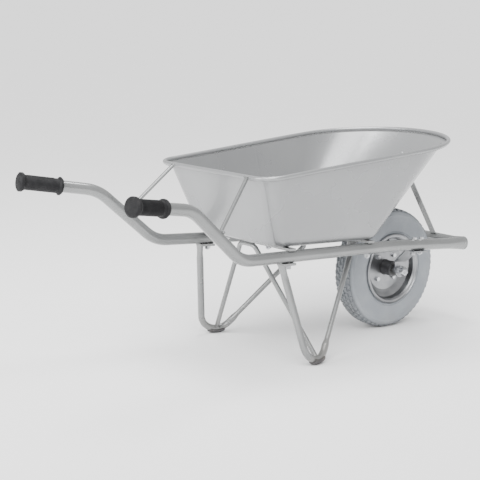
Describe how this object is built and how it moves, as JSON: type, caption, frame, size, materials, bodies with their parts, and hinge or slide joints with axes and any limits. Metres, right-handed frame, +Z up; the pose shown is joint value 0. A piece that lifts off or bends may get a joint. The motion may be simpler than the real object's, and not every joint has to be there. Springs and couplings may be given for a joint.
{
  "type": "wheelbarrow",
  "caption": "Builder's wheelbarrow: pressed steel tray on a bent tube frame with splayed V legs, braces and stays, rubber grips, and a pneumatic wheel that turns on an axle at the front.",
  "frame": {"origin": "on the ground, under the centre of the whole barrow's bounding box", "axes": "+X runs forward from the handles to the wheel, +Y to the left of the person pushing, +Z up"},
  "size_m": [1.506, 0.6226, 0.6546],
  "materials": {
    "frame_paint": "light grey gloss paint over steel tube",
    "tray_paint": "light grey gloss paint over pressed sheet",
    "grip_rubber": "black moulded grip with a satin skin",
    "shoe_plastic": "dark moulded wear shoe",
    "plated_steel": "bright zinc plate on pressed steel",
    "fastener_zinc": "zinc plated fasteners",
    "axle_steel": "turned steel",
    "hub_steel": "dark painted hub",
    "seal_rubber": "black rubber",
    "tyre_rubber": "blue-grey tyre rubber with a darker worn tread"
  },
  "bodies": {
    "barrow": {"right_side_tube": "frame_paint", "left_side_tube": "frame_paint", "nose_bar": "frame_paint", "right_leg": "frame_paint", "left_leg": "frame_paint", "leg_brace": "frame_paint", "rear_cross_bar": "frame_paint", "front_cross_bar": "frame_paint", "right_rear_stay": "frame_paint", "left_rear_stay": "frame_paint", "front_stay": "frame_paint", "tray_shell": "tray_paint", "tray_rim": "tray_paint", "right_grip": "grip_rubber", "left_grip": "grip_rubber", "right_foot_shoe": "shoe_plastic", "left_foot_shoe": "shoe_plastic", "right_axle_bracket": "plated_steel", "left_axle_bracket": "plated_steel", "tray_bolts": "fastener_zinc", "tray_nuts": "fastener_zinc", "frame_bolts": "fastener_zinc", "frame_washers": "fastener_zinc", "frame_nuts": "fastener_zinc", "bracket_bolts": "fastener_zinc", "bracket_nuts": "fastener_zinc", "stay_bolt": "fastener_zinc", "stay_nut": "fastener_zinc", "axle_washers": "fastener_zinc", "axle_nuts": "fastener_zinc", "axle": "axle_steel", "axle_spacers": "axle_steel", "bearing_inner_races": "axle_steel"},
    "wheel": {"tyre": "tyre_rubber", "hub": "hub_steel", "right_rim_half": "plated_steel", "left_rim_half": "plated_steel", "rim_bolts": "fastener_zinc", "rim_nuts": "fastener_zinc", "bearing_outer_races": "axle_steel", "bearing_balls": "axle_steel", "hub_seals": "seal_rubber", "valve_stem": "seal_rubber", "valve_cap": "seal_rubber"}
  },
  "joints": [
    {"name": "wheel_spin", "type": "hinge", "parent": "barrow", "child": "wheel", "pos_m": [0.489, 0, 0.2], "axis": [0, 1, 0], "continuous": true}
  ]
}
